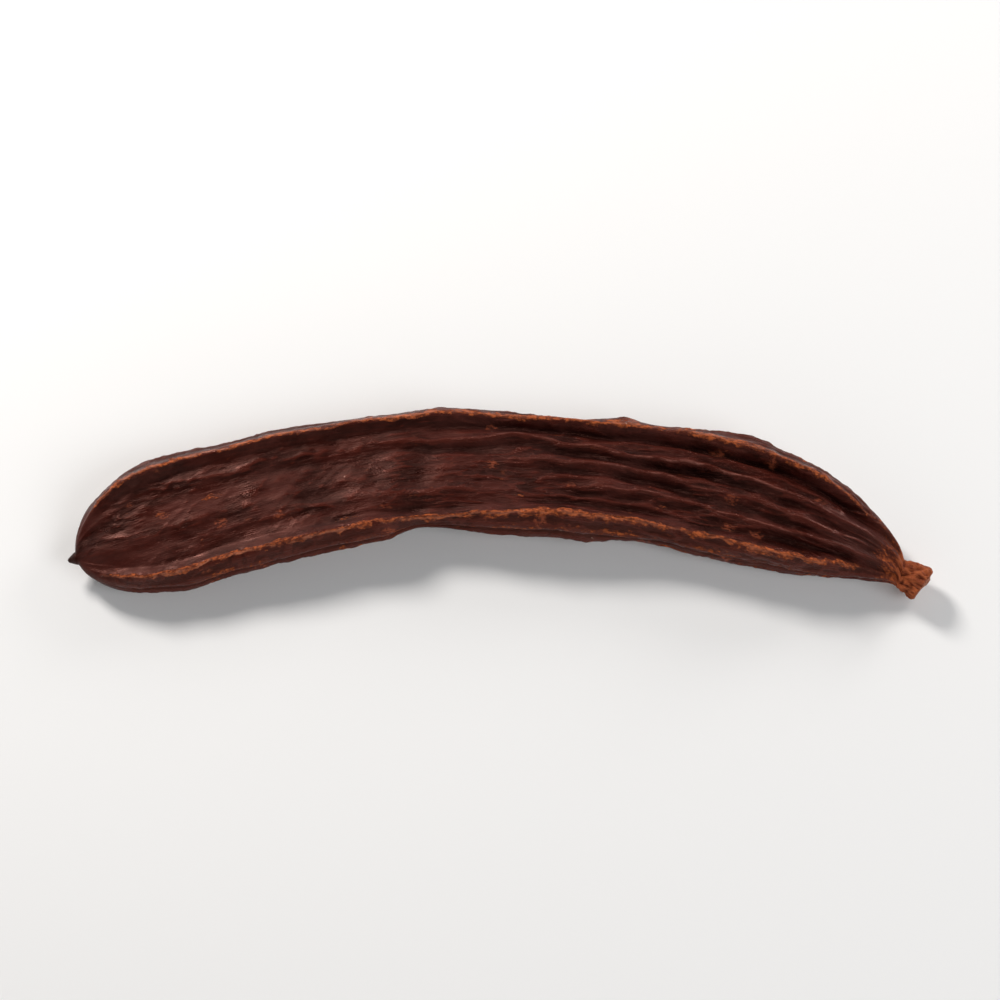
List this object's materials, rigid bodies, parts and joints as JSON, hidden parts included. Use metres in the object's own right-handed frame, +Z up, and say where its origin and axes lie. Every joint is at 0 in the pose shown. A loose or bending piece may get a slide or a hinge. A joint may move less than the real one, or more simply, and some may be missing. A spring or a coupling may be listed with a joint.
{
  "type": "carob pod",
  "caption": "Dried carob pod lying on its side: long, flat and gently curved, with raised wavy margins, wrinkled red-brown faces, a tiny beak and a short stalk stub.",
  "frame": {"origin": "on the surface that the pod lies on, under the middle of its bounding box", "axes": "+X along the pod, from its beak to its stalk; +Y across its broad face, towards the long, arched margin; +Z up, out of the surface"},
  "size_m": [0.1686, 0.0384, 0.0129],
  "materials": {
    "pod_skin": "dried leathery skin, dark red-brown with a satin gloss, orange-brown where the margins and the stalk are rough"
  },
  "bodies": {
    "root": {"carob_pod": "pod_skin"}
  },
  "joints": []
}
